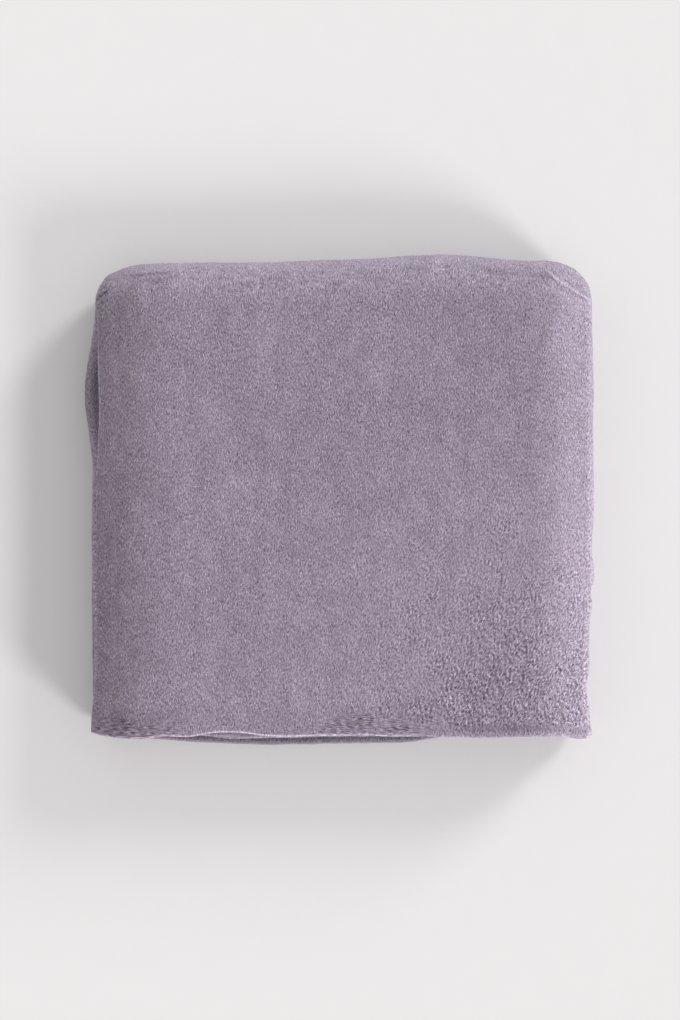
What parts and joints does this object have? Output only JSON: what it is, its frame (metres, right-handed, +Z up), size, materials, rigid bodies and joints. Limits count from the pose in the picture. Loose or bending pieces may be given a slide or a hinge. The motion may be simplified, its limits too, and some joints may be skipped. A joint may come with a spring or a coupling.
{
  "type": "folded throw blanket",
  "caption": "Plush throw blanket folded into a square stack of layers, whose last fold opens like a book about the spine edge.",
  "frame": {"origin": "middle of the underside, on the surface that the folded blanket lies on", "axes": "+Z up through the stack, +X across the folded cloth towards the closed right-hand side, +Y from the open front edge to the spine fold"},
  "size_m": [0.4333, 0.4248, 0.0604],
  "materials": {
    "plush": "short dense brushed pile, soft and matt with a pale sheen at grazing angles",
    "thread": "twisted polyester sewing thread, slightly shiny",
    "label": "blank woven satin ribbon"
  },
  "bodies": {
    "lower_half": {"layer_01": "plush", "layer_02": "plush", "layer_03": "plush", "layer_04": "plush", "layer_05": "plush", "layer_06": "plush", "right_turn_1": "plush", "right_turn_2": "plush", "left_turn_1": "plush", "left_turn_2": "plush", "front_turn_middle": "plush", "front_turn_tuck": "plush", "front_turn_cover": "plush", "spine_inner_cover": "plush", "spine_inner_tuck": "plush", "spine_inner_middle": "plush", "spine_outer_middle": "plush", "spine_outer_tuck": "plush", "spine_outer_cover": "plush", "side_hem_thread_1": "thread", "side_hem_thread_2": "thread", "care_label": "label"},
    "upper_half": {"layer_07": "plush", "layer_08": "plush", "layer_09": "plush", "layer_10": "plush", "layer_11": "plush", "layer_12": "plush", "right_turn_3": "plush", "right_turn_4": "plush", "left_turn_3": "plush", "left_turn_4": "plush", "side_hem_thread_3": "thread", "side_hem_thread_4": "thread", "front_hem_thread_inner": "thread", "front_hem_thread_outer": "thread"}
  },
  "joints": [
    {"name": "spine_fold", "type": "hinge", "parent": "lower_half", "child": "upper_half", "pos_m": [0, 0.1823, 0.0302], "axis": [-1, 0, 0], "range_deg": [0, 180], "deforming": ["spine_inner_cover", "spine_inner_tuck", "spine_inner_middle", "spine_outer_middle", "spine_outer_tuck", "spine_outer_cover"]}
  ]
}
